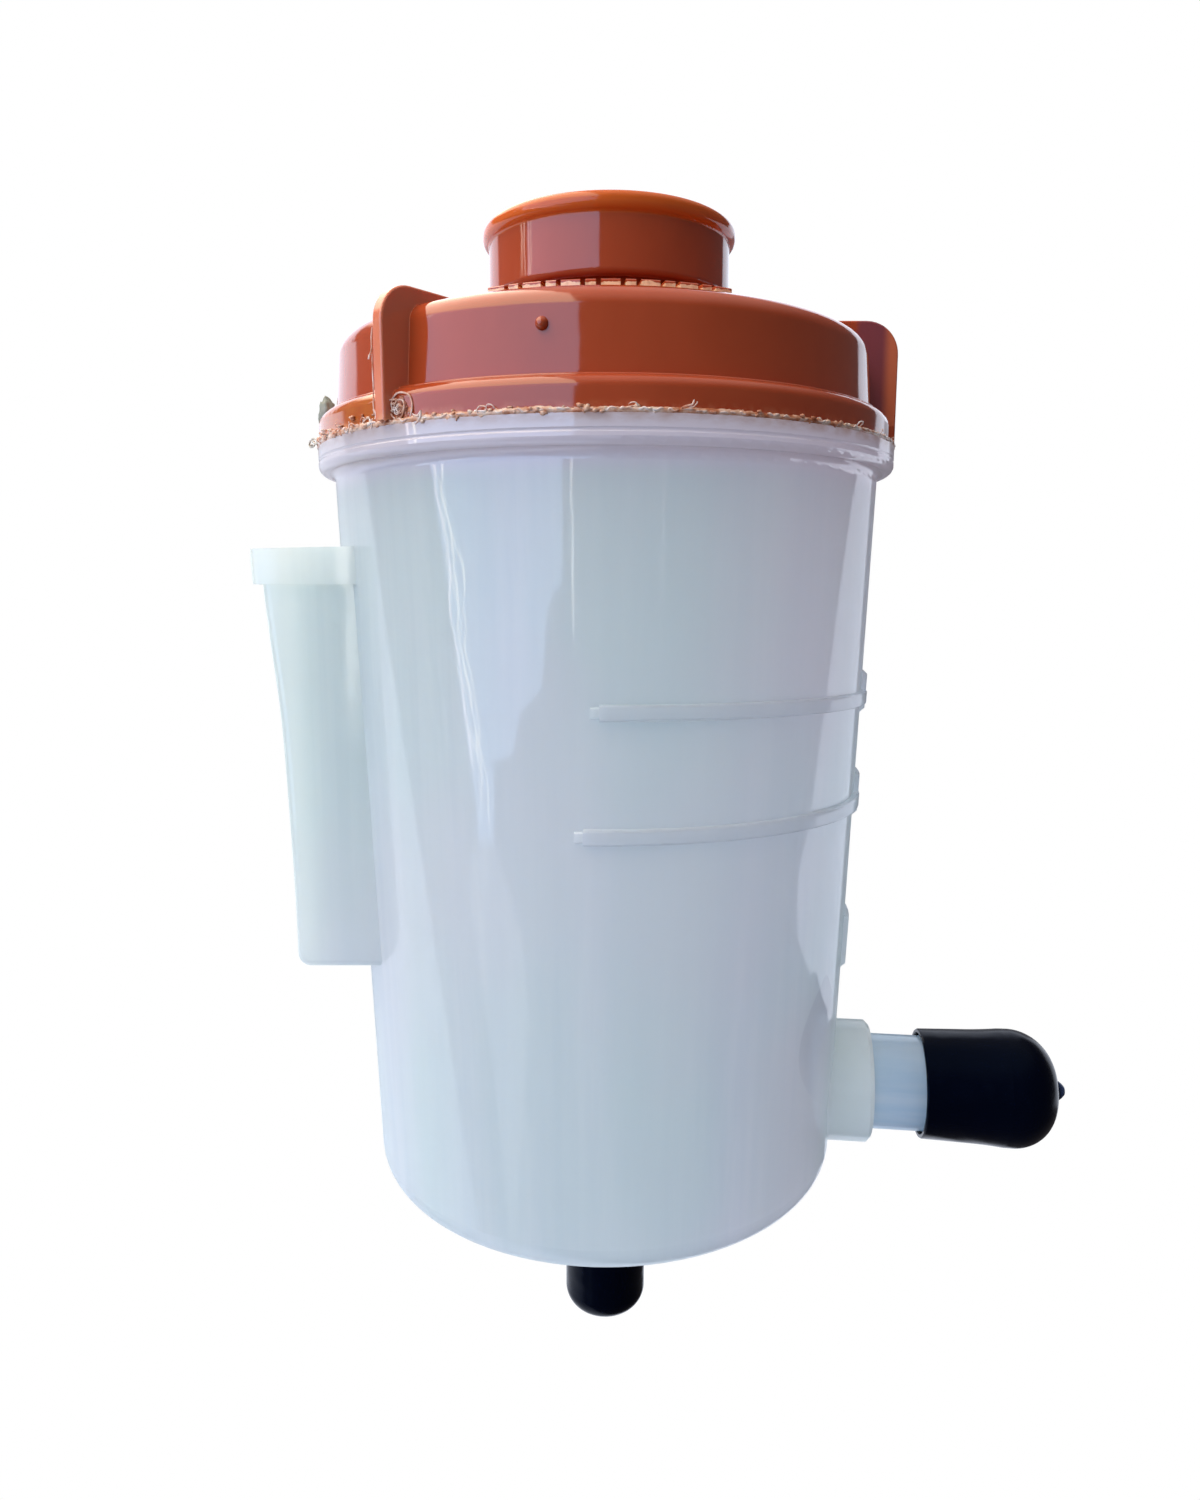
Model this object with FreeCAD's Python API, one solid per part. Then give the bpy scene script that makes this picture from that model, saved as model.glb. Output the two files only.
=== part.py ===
import FreeCAD, Part
import math
import os
from FreeCAD import Vector, Rotation, Placement

os.makedirs("parts", exist_ok=True)

# Fluid reservoir: a tapered translucent tank, a welded cover with a filler neck,
# a push-fit filler cap, a side outlet, a bottom return and a bracket sleeve.
# Everything is drawn about the tank's axis, with z = 0 just under the mouth flange,
# and moved at the end so that the origin is the centre of the bracket slot's mouth.
# +Z is up, +X runs from the bracket to the tank axis.

# ---------------------------------------------------------------- dimensions (mm)
# tank
tank_r = 44.0              # outer radius just under the flange
tank_taper = 0.0349        # radius lost per mm downwards (2 degrees of draft)
tank_bottom_z = -116.4
tank_corner_r = 5.2        # outer fillet between wall and floor
wall = 2.2
floor_t = 2.6
seam_z = 6.48              # plane of the weld
body_flange_r = 46.5
mouth_r = 41.9             # inner radius at the mouth

# level ribs and flank pads
rib_proud = 0.9
rib_edge = 0.35
rib_sink = -2.0            # degrees
rib_upper = (-32.55, -30.4)
rib_lower = (-49.55, -47.35)
rib_upper_start = -93.0    # degrees about the tank axis
rib_lower_start = -96.0
rib_end = 8.0
pad_proud = 0.75
pads = ((-35.0, -28.3), (-52.1, -44.9), (-78.5, -69.3))
pad_from, pad_to = -15.5, 9.0

# bracket sleeve on the -X side
sleeve_half_w = 20.9
sleeve_bottom_z = -75.0
plate_half_w = 22.4
plate_z = (-14.6, -9.3)
slot_x = (-47.9, -43.5)
slot_half_w = 17.5
slot_top_z = -12.3

# side outlet
outlet_az = -7.0           # degrees, turned a little towards the front
outlet_z = -101.55
outlet_boss_r = 10.4
outlet_boss_end = 46.9     # distance from the tank axis
outlet_tube_r = 8.1        # 16.2 mm stub for a 5/8 in (15.9 mm) hose
outlet_bead_r = 8.4
outlet_bore_r = 5.9
outlet_end = 73.0

# return stub
return_tube_r = 5.0        # 10 mm hose stub
return_bead_r = 5.62
return_bore_r = 3.3
return_root_r = 6.9
return_end_z = -143.2
seat_r = 8.0
seat_top_z = -107.3

# cover
cover_flange_r = 45.9
cover_flange_top_z = 11.39
cover_side_r = 43.1
cover_dx = -0.38            # the cover sits slightly off the tank axis
cover_top_z = 24.1
mark_top_z = 25.42
neck_dx = 0.5              # the neck sits slightly off the tank axis
neck_r = 15.6
neck_bore_r = 13.3
neck_top_z = 36.3
neck_bead_r = 16.65

# filler cap
cap_rim_r = 20.35
cap_rim_z = (38.9, 41.47)
cap_skirt_r = 19.45
cap_skirt_bore_r = 17.0
cap_skirt_z = 30.25
plug_r = 12.9
plug_bore_r = 11.3

# soft dust caps
outlet_cap_mouth = 55.6
outlet_cap_mouth_r = 9.3
outlet_cap_bulge_r = 10.0
outlet_cap_end = 78.4
outlet_cap_corner = 7.4
outlet_cap_tip = 2.1        # the little dipping tip at the middle of the end
outlet_cap_bore_r = 8.5
outlet_cap_bore_end = 75.0
return_cap_mouth_z = -118.9
return_cap_r = 7.35
return_cap_end_z = -149.0
return_cap_corner = 4.0
return_cap_bore_r = 5.70
return_cap_bore_end_z = -146.4

# strainer
cage_r = 13.0
cage_in_r = 11.4
cage_top_z = -50.0
mesh_t = 0.4

# position of the origin in the tank drawing
origin = Vector((slot_x[0] + slot_x[1]) / 2.0, 0.0, sleeve_bottom_z)

Z = Vector(0, 0, 1)
O = Vector(0, 0, 0)


def tank_radius(z):
    return tank_r + tank_taper * min(z, 0.0)


def wire(points):
    """Closed wire in the XZ plane. A point is (r, z), or ((rm, zm), (r, z)) for
    an arc through the middle point."""
    def v(p):
        return Vector(p[0], 0, p[1])
    edges = []
    first = points[0]
    last = v(first)
    for p in list(points[1:]) + [first]:
        if isinstance(p[0], tuple):
            end = v(p[1])
            edges.append(Part.Arc(last, v(p[0]), end).toShape())
            last = end
        else:
            end = v(p)
            if end.sub(last).Length > 1e-6:
                edges.append(Part.LineSegment(last, end).toShape())
            last = end
    return Part.Wire(edges)


def turned(points, angle=360.0, start=0.0, axis_x=0.0):
    """Solid of revolution about Z."""
    face = Part.Face(wire(points))
    solid = face.revolve(O, Z, angle)
    if start:
        solid.rotate(O, Z, start)
    if axis_x:
        solid.translate(Vector(axis_x, 0, 0))
    return solid


def radial(solid, az):
    """Turn a solid drawn about +Z so that it points outwards at an azimuth."""
    s = solid.copy()
    s.rotate(O, Vector(0, 1, 0), 90)
    s.rotate(O, Z, az)
    return s


def corner_arc(cx, cz, r, a):
    """Point on a circle at angle a in degrees."""
    return (cx + r * math.cos(math.radians(a)), cz + r * math.sin(math.radians(a)))


def one(shape):
    """The single solid of a shape, with its split faces joined."""
    s = shape.removeSplitter()
    sol = s.Solids
    return sol[0] if len(sol) == 1 else Part.makeCompound(sol)


# ---------------------------------------------------------------- tank body
rb = tank_radius(tank_bottom_z)
rc = tank_corner_r
outer = turned([
    (0, tank_bottom_z + 0.5),
    (return_root_r + 4.0, tank_bottom_z),
    (rb - rc, tank_bottom_z),
    (corner_arc(rb - rc + 0.03, tank_bottom_z + rc, rc, -45), (rb + 0.17, tank_bottom_z + rc)),
    (tank_r, 1.0),
    ((44.25, 2.05), (44.95, 2.5)),
    ((46.05, 2.75), (body_flange_r, 3.5)),
    (body_flange_r, 4.0),
    ((body_flange_r - 0.14, 4.3), (body_flange_r, 4.6)),
    (body_flange_r, seam_z - 0.25),
    (body_flange_r - 0.25, seam_z),
    (0, seam_z),
])

# bracket sleeve: side profile swept across, outer face flared at its top
sx = [(-52.2, -13.0), (-51.65, -20.0), (-51.1, -26.0), (-50.5, -32.0), (-49.85, -45.0),
      (-49.35, -64.0), (-49.3, sleeve_bottom_z + 2.2)]
spline = Part.BSplineCurve()
spline.interpolate([Vector(x, 0, z) for x, z in sx])
edges = [spline.toShape(),
         Part.Arc(Vector(-49.3, 0, sleeve_bottom_z + 2.2), Vector(-48.62, 0, sleeve_bottom_z + 0.55),
                  Vector(-47.1 - 0.05, 0, sleeve_bottom_z)).toShape(),
         Part.LineSegment(Vector(-47.15, 0, sleeve_bottom_z), Vector(-30, 0, sleeve_bottom_z)).toShape(),
         Part.LineSegment(Vector(-30, 0, sleeve_bottom_z), Vector(-30, 0, -13.0)).toShape(),
         Part.LineSegment(Vector(-30, 0, -13.0), Vector(-52.2, 0, -13.0)).toShape()]
sleeve = Part.Face(Part.Wire(edges)).extrude(Vector(0, 2 * sleeve_half_w, 0))
sleeve.translate(Vector(0, -sleeve_half_w, 0))
vert = [e for e in sleeve.Edges
        if abs(e.BoundBox.YLength) < 1e-6 and e.BoundBox.XMax < -49.0 and e.BoundBox.ZLength > 10]
sleeve = sleeve.makeFillet(1.4, vert)

plate = Part.Face(wire([(-53.45, plate_z[1] - 0.35), (-53.1, plate_z[1] - 0.05), (-30, plate_z[1] + 0.45),
                        (-30, plate_z[0]), (-52.9, plate_z[0]), (-53.2, plate_z[0] + 0.3)]))
plate = plate.extrude(Vector(0, 2 * plate_half_w, 0))
plate.translate(Vector(0, -plate_half_w, 0))
vert = [e for e in plate.Edges
        if abs(e.BoundBox.YLength) < 1e-6 and e.BoundBox.XMax < -53.0 and e.BoundBox.ZLength > 3]
plate = plate.makeFillet(1.6, vert)

body = outer.fuse([sleeve, plate])

# level ribs, with a flat crown, rounded edges and faded ends; they sink a little to the back
def rib(z0, z1, a0, a1, proud):
    r0, r1 = tank_radius(z0), tank_radius(z1)
    c = rib_edge * min(1.0, proud / rib_proud)
    k = c * (1.0 - math.sqrt(0.5))
    r = turned([(r0 - 1.0, z0 - 0.25), (r0 + proud - c, z0),
                ((r0 + proud - k, z0 + k), (r0 + proud, z0 + c)), (r1 + proud, z1 - c),
                ((r1 + proud - k, z1 - k), (r1 + proud - c, z1)), (r1 - 1.0, z1 + 0.25)],
               a1 - a0, a0)
    r.rotate(Vector(0, -tank_r, (z0 + z1) / 2.0), Vector(1, 0, 0), rib_sink)
    return r

ribs = []
for (z0, z1), a0 in ((rib_upper, rib_upper_start), (rib_lower, rib_lower_start)):
    body_part = rib(z0, z1, a0 + 1.6, rib_end, rib_proud)
    lead = rib(z0 + 0.35, z1 - 0.35, a0, a0 + 2.0, rib_proud * 0.55)
    ribs += [body_part, lead]
for z0, z1 in pads:
    r0, r1 = tank_radius(z0), tank_radius(z1)
    pad = turned([(r0 - 1.0, z0 - 0.56), (r0 - 0.6, z0 - 0.56), (r0 + pad_proud, z0 + 0.7),
                  (r1 + pad_proud, z1 - 0.7), (r1 - 0.6, z1 + 0.56), (r1 - 1.0, z1 + 0.56)],
                 pad_to - pad_from, pad_from)
    ribs.append(pad)
body = body.fuse(ribs)

# outlet boss and return root, before the inside is cut
boss = turned([(0, 30.0), (outlet_boss_r + 0.9, 30.0), (outlet_boss_r + 0.25, 38.6),
               (outlet_boss_r, 39.6), (outlet_boss_r, outlet_boss_end - 0.7),
               (outlet_boss_r - 0.7, outlet_boss_end), (0, outlet_boss_end)])
boss = radial(boss, outlet_az)
boss.translate(Vector(0, 0, outlet_z))
root = turned([(0, tank_bottom_z + 1.5), (return_root_r + 1.2, tank_bottom_z + 1.5),
               (return_root_r + 1.2, tank_bottom_z), (return_root_r, tank_bottom_z - 1.0),
               (return_root_r, tank_bottom_z - 2.0), (0, tank_bottom_z - 2.0)])
body = body.fuse([boss, root])

# inside of the tank
zf = tank_bottom_z + floor_t
ri = tank_radius(zf) - wall
inner = turned([
    (0, zf), (ri - 3.2, zf), (corner_arc(ri - 3.2 + 0.05, zf + 3.2, 3.2, -45), (ri + 0.05, zf + 3.2)),
    (tank_r - wall, 0.0), (mouth_r, seam_z), (mouth_r, seam_z + 5.0), (0, seam_z + 5.0)])
body = body.cut(inner)

# outlet stub with its bore, and return stub with its seat ring
stub = turned([(0, 38.5), (outlet_tube_r, 38.5), (outlet_tube_r, outlet_end - 5.6),
               (outlet_bead_r, outlet_end - 4.6), (outlet_bead_r, outlet_end - 3.4),
               (outlet_tube_r - 0.35, outlet_end - 0.5), (outlet_tube_r - 0.8, outlet_end), (0, outlet_end)])
stub = radial(stub, outlet_az)
stub.translate(Vector(0, 0, outlet_z))
rstub = turned([(0, zf - 0.2), (return_tube_r, zf - 0.2), (return_tube_r, return_end_z + 4.6),
                (return_bead_r, return_end_z + 3.8), (return_bead_r, return_end_z + 2.8),
                (return_tube_r - 0.3, return_end_z + 0.4), (return_tube_r - 0.7, return_end_z), (0, return_end_z)])
seat = turned([(0, zf - 0.5), (seat_r, zf - 0.5), (seat_r, seat_top_z - 0.4), (seat_r - 0.4, seat_top_z),
               (0, seat_top_z)])
body = body.fuse([stub, rstub, seat])

bore = Part.makeCylinder(outlet_bore_r, 60.0, Vector(0, 0, 24.0), Z)
bore = radial(bore, outlet_az)
bore.translate(Vector(0, 0, outlet_z))
rbore = Part.makeCylinder(return_bore_r, 60.0, Vector(0, 0, return_end_z - 10.0), Z)

# blind slot for the steel tongue of the vehicle bracket, flared at its mouth
slot = Part.makeBox(slot_x[1] - slot_x[0], 2 * slot_half_w, slot_top_z - sleeve_bottom_z + 5.0,
                    Vector(slot_x[0], -slot_half_w, sleeve_bottom_z - 5.0))
body = body.cut(bore).cut(rbore).cut(slot)
tank_body = one(body)

# ---------------------------------------------------------------- top cover
cover_rim = turned([
    (0, seam_z), (cover_flange_r, seam_z), (cover_flange_r, 9.5),
    (corner_arc(cover_flange_r - 1.45, 9.6, 1.45, 42), (cover_flange_r - 1.23, cover_flange_top_z - 0.25)),
    ((cover_flange_r - 1.33, cover_flange_top_z - 0.07), (cover_flange_r - 1.53, cover_flange_top_z)),
    (42.5, cover_flange_top_z + 0.05), (0, cover_flange_top_z + 0.05)])
dome = turned([
    (0, 9.0), (cover_side_r + 0.1, 9.0), (cover_side_r + 0.02, cover_flange_top_z + 0.5),
    (cover_side_r - 0.5, 19.7),
    ((41.95, 21.6), (40.4, 22.6)),
    ((37.0, 23.65), (32.0, cover_top_z)),
    (0, cover_top_z + 0.25)])
cover_out = cover_rim.fuse(dome)
cover_out.translate(Vector(cover_dx, 0, 0))
cover_in = turned([
    (0, seam_z - 2.0), (mouth_r, seam_z - 2.0), (mouth_r, seam_z), (41.25, 8.5), (41.15, 11.0),
    (40.75, 19.2), ((40.2, 20.3), (39.0, 20.75)), ((36.0, 21.5), (31.8, 21.9)), (0, 22.1)])
cover = cover_out.cut(cover_in)

# locating ring that drops into the tank's mouth
ring = turned([(39.9, 2.2), (41.35, 2.2), (41.7, 2.8), (41.7, seam_z), (41.7, 8.0), (39.9, 12.5)])
ring = ring.common(turned([(38, 1.0), (41.7, 1.0), (41.7, seam_z), (42.4, seam_z), (41.9, 12.6), (38, 12.6)]))
cover = cover.fuse(ring)

# filler neck with its snap bead and two faint ridges
neck = turned([(neck_bore_r - 1.0, 21.9), (neck_r + 1.4, 21.9), (neck_r + 1.3, cover_top_z + 0.2),
               ((neck_r + 0.35, cover_top_z + 0.55), (neck_r, cover_top_z + 1.3)),
               (neck_r, 26.6), (neck_r + 0.35, 26.9), (neck_r + 0.35, 27.2), (neck_r, 27.5),
               (neck_r, 28.5), (neck_r + 0.35, 28.8), (neck_r + 0.35, 29.1), (neck_r, 29.4),
               (neck_r, 32.6), ((neck_bead_r, 33.7), (neck_r, 34.8)),
               (neck_r, neck_top_z - 0.4), (neck_r - 0.4, neck_top_z), (neck_bore_r - 1.0, neck_top_z)])
neck_bore = turned([(0, 18.0), (neck_bore_r, 18.0), (neck_bore_r, neck_top_z - 0.5),
                    (neck_bore_r + 0.4, neck_top_z + 0.0), (neck_bore_r + 0.4, neck_top_z + 3.0),
                    (0, neck_top_z + 3.0)])
neck.translate(Vector(neck_dx, 0, 0))
neck_bore.translate(Vector(neck_dx, 0, 0))

# radial fins: a tall one at the left front, a higher lug on the right
def fin(az, r0, r1, z1, t, rad):
    k = rad * (1 - math.sqrt(0.5))
    f = Part.Face(wire([(r0, seam_z + 0.35), (r1, seam_z + 0.35), (r1, z1 - rad),
                        ((r1 - k, z1 - k), (r1 - rad, z1)), (r0, z1)]))
    s = f.extrude(Vector(0, t, 0))
    s.translate(Vector(0, -t / 2.0, 0))
    edge = [e for e in s.Edges if e.BoundBox.XMin > r1 - rad - 0.1 and abs(e.BoundBox.YLength) < 1e-6]
    edge += [e for e in s.Edges if abs(e.BoundBox.ZLength) < 1e-6 and abs(e.BoundBox.YLength) < 1e-6
             and e.BoundBox.ZMin > z1 - 0.01]
    s = s.makeFillet(0.35, edge)
    s.rotate(O, Z, az)
    return s

fin_left = fin(-129.3, 30.5, 47.6, 24.55, 1.9, 5.2)
lug_right = fin(0.0, 36.0, 48.0, 28.05, 2.0, 5.4)
keep_out = cover_in
cover = cover.fuse([neck, fin_left.cut(keep_out), lug_right.cut(keep_out)])

# arc of plain raised marks, front and back, long and short in turn
marks = []
az = -90.0 - 29.0
n = 0
while az < -90.0 + 29.0:
    w = 4.4 if n % 2 == 0 else 2.4
    for flip in (0.0, 180.0):
        m = turned([(29.8, 23.4), (33.6, 23.4), (33.6, mark_top_z - 0.15), (33.45, mark_top_z), (30.0, mark_top_z),
                    (29.8, mark_top_z - 0.2)],
                   w, az + flip)
        marks.append(m)
    az += w + 1.2
    n += 1
cover = cover.fuse(marks)
# gate pip on the front of the dome
pip = Part.makeSphere(0.85, Vector(-8.3, -42.1, 17.7))
cover = cover.fuse(pip).cut(neck_bore)
top_cover = one(cover)

# ---------------------------------------------------------------- filler cap
top_under = 37.85
filler_cap = turned([
    (0, top_under), (plug_bore_r, top_under), (plug_bore_r, 30.8), (plug_bore_r + 0.3, 30.5),
    (plug_r - 0.5, 30.5), (plug_r, 31.2), (plug_r, top_under), (cap_skirt_bore_r, top_under),
    (cap_skirt_bore_r, cap_skirt_z + 0.6), (cap_skirt_bore_r + 0.5, cap_skirt_z),
    (cap_skirt_r - 0.75, cap_skirt_z), ((cap_skirt_r - 0.2, cap_skirt_z + 0.25), (cap_skirt_r, cap_skirt_z + 0.85)),
    (cap_skirt_r - 0.05, cap_rim_z[0] - 0.35),
    ((cap_skirt_r + 0.12, cap_rim_z[0] - 0.1), (cap_skirt_r + 0.3, cap_rim_z[0])),
    ((cap_rim_r - 0.22, cap_rim_z[0] + 0.38), (cap_rim_r, cap_rim_z[0] + 1.15)),
    ((cap_rim_r - 0.3, cap_rim_z[1] - 0.42), (cap_rim_r - 1.2, cap_rim_z[1])),
    (17.9, cap_rim_z[1]), ((17.35, cap_rim_z[1] - 0.2), (17.1, cap_rim_z[1] - 0.7)),
    (17.0, 40.65), (12.4, 40.65), ((11.9, 41.0), (11.4, 40.65)), (0, 40.65)])
filler_cap.translate(Vector(neck_dx, 0, 0))
filler_cap = one(filler_cap)

cap_seal = turned([(13.1, neck_top_z + 0.05), (16.6, neck_top_z + 0.05), (16.75, neck_top_z + 0.2),
                   (16.75, top_under), (13.0, top_under), (13.0, neck_top_z + 0.15)])
cap_seal.translate(Vector(neck_dx, 0, 0))

cap_vent_plate = turned([(0, 31.0), (10.9, 31.0), (11.25, 31.35), (11.25, 32.6), (9.6, 32.6),
                         (9.6, 32.2), (0, 32.2)])
for a in (0, 120, 240):
    x, y = 6.0 * math.cos(math.radians(a)), 6.0 * math.sin(math.radians(a))
    cap_vent_plate = cap_vent_plate.cut(Part.makeCylinder(0.75, 4.0, Vector(x, y, 30.0), Z))
cap_vent_plate.translate(Vector(neck_dx, 0, 0))
cap_vent_plate = one(cap_vent_plate)

# ---------------------------------------------------------------- soft dust caps
e, b, oc = outlet_cap_end, outlet_cap_bulge_r, outlet_cap_corner
outlet_dust_cap = turned([
    (outlet_cap_bore_r + 0.15, outlet_cap_mouth),
    (outlet_cap_mouth_r - 0.15, outlet_cap_mouth), (outlet_cap_mouth_r, outlet_cap_mouth + 0.25),
    (outlet_cap_mouth_r + 0.22, 62.5),
    ((outlet_cap_mouth_r + 0.36, 66.0), (b - 0.04, 69.4)),
    (b, e - oc),
    (corner_arc(b - oc, e - oc, oc, 45), (b - oc, e)),
    (2.0, e + 0.05), ((1.55, e + 0.5 * outlet_cap_tip), (0.75, e + 0.9 * outlet_cap_tip)),
    (0.0, e + outlet_cap_tip),
    (0, outlet_cap_bore_end), (outlet_cap_bore_r - 2.6, outlet_cap_bore_end),
    (outlet_cap_bore_r, outlet_cap_bore_end - 2.6), (outlet_cap_bore_r, outlet_cap_mouth + 0.4)])
outlet_dust_cap = radial(outlet_dust_cap, outlet_az)
outlet_dust_cap.translate(Vector(0, 0, outlet_z))

rr, ze, rc = return_cap_r, return_cap_end_z, return_cap_corner
return_dust_cap = turned([
    (return_cap_bore_r + 0.3, return_cap_mouth_z), (rr - 0.35, return_cap_mouth_z),
    (rr, return_cap_mouth_z - 0.4), (rr, ze + rc + 0.1),
    (corner_arc(rr - rc, ze + rc + 0.05, rc, -45), (rr - rc - 0.2, ze + 0.1)), (0, ze),
    (0, return_cap_bore_end_z), (return_cap_bore_r - 0.8, return_cap_bore_end_z),
    (return_cap_bore_r, return_cap_bore_end_z + 0.8), (return_cap_bore_r, return_cap_mouth_z - 0.4)])

# ---------------------------------------------------------------- strainer
base_z = seat_top_z + 1.2
base = turned([(return_bore_r + 0.4, base_z), (seat_r + 0.12, base_z), (seat_r + 0.12, seat_top_z - 4.4),
               (seat_r + 1.7, seat_top_z - 4.4), (seat_r + 1.7, base_z - 0.2), (cage_r + 1.0, base_z - 0.2),
               (cage_r + 1.0, base_z + 1.8), (return_bore_r + 0.4, base_z + 1.8)])
lid = turned([(0, cage_top_z), (cage_r + 1.0, cage_top_z), (cage_r + 1.0, cage_top_z + 1.6),
              (cage_r + 0.6, cage_top_z + 2.0), (0, cage_top_z + 2.0)])
pieces = [lid]
for zc in (-86.5, -68.5):
    pieces.append(turned([(cage_in_r, zc - 0.8), (cage_r, zc - 0.8), (cage_r, zc + 0.8), (cage_in_r, zc + 0.8)]))
for i in range(6):
    post = turned([(cage_in_r, base_z + 1.0), (cage_r, base_z + 1.0), (cage_r, cage_top_z + 1.0),
                   (cage_in_r, cage_top_z + 1.0)], 11.0, i * 60.0 - 5.5)
    pieces.append(post)
strainer_frame = one(base.fuse(pieces))
strainer_mesh = turned([(cage_r + 0.05, base_z + 1.85), (cage_r + 0.05 + mesh_t, base_z + 1.85),
                        (cage_r + 0.05 + mesh_t, cage_top_z - 0.05), (cage_r + 0.05, cage_top_z - 0.05)])
strainer_seal = turned([(return_bore_r + 0.4, seat_top_z), (seat_r - 0.5, seat_top_z),
                        (seat_r - 0.2, seat_top_z + 0.3), (seat_r - 0.2, base_z - 0.25),
                        (seat_r - 0.5, base_z), (return_bore_r + 0.4, base_z)])

# ---------------------------------------------------------------- files
nodes = {
    "tank_body": tank_body, "top_cover": top_cover, "filler_cap": filler_cap, "cap_seal": cap_seal,
    "cap_vent_plate": cap_vent_plate, "outlet_dust_cap": outlet_dust_cap,
    "return_dust_cap": return_dust_cap, "strainer_frame": strainer_frame,
    "strainer_mesh": strainer_mesh, "strainer_seal": strainer_seal,
}
for name, shape in nodes.items():
    s = shape.copy()
    s.translate(origin.negative())
    bb = s.BoundBox
    print("%-18s solids %d valid %s volume %.0f box x %.2f..%.2f y %.2f..%.2f z %.2f..%.2f" % (
        name, len(s.Solids), s.isValid(), s.Volume, bb.XMin, bb.XMax, bb.YMin, bb.YMax, bb.ZMin, bb.ZMax))
    s.exportStep("parts/%s.step" % name)
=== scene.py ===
import math
import random

import bmesh
import bpy
from mathutils import Matrix, Vector, noise


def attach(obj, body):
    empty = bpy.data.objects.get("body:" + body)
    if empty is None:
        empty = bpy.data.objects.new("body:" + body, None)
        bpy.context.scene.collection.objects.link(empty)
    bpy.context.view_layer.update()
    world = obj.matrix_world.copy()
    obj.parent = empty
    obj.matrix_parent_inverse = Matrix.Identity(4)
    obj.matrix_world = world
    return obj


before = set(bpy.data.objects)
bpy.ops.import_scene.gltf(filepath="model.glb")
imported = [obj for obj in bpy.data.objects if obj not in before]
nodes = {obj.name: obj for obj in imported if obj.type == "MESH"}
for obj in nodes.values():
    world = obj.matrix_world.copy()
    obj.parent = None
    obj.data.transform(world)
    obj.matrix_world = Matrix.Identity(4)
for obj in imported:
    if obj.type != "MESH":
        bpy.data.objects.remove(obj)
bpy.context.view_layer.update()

AX = 0.0457           # the tank's axis is at x = 45.7 mm, y = 0
OZ = 0.0750           # z of the tank drawing's zero level above the origin


def P(x, y, z):
    """A point given in the tank's own drawing, in mm about its axis, as metres in the row frame."""
    return Vector((x / 1000.0 + AX, y / 1000.0, z / 1000.0 + OZ))


# ------------------------------------------------------------------ camera
cam_data = bpy.data.cameras.new("camera")
cam = bpy.data.objects.new("camera", cam_data)
bpy.context.scene.collection.objects.link(cam)
cam_data.sensor_fit = "AUTO"
cam_data.sensor_width = 36.0
cam_data.lens = 24.894
cam_data.clip_start = 0.01
cam_data.clip_end = 50.0
cam.location = P(-0.97, -179.03, -15.28)
cam.rotation_euler = (math.radians(90.0 - 8.825), 0.0, 0.0)
bpy.context.scene.camera = cam


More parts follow.
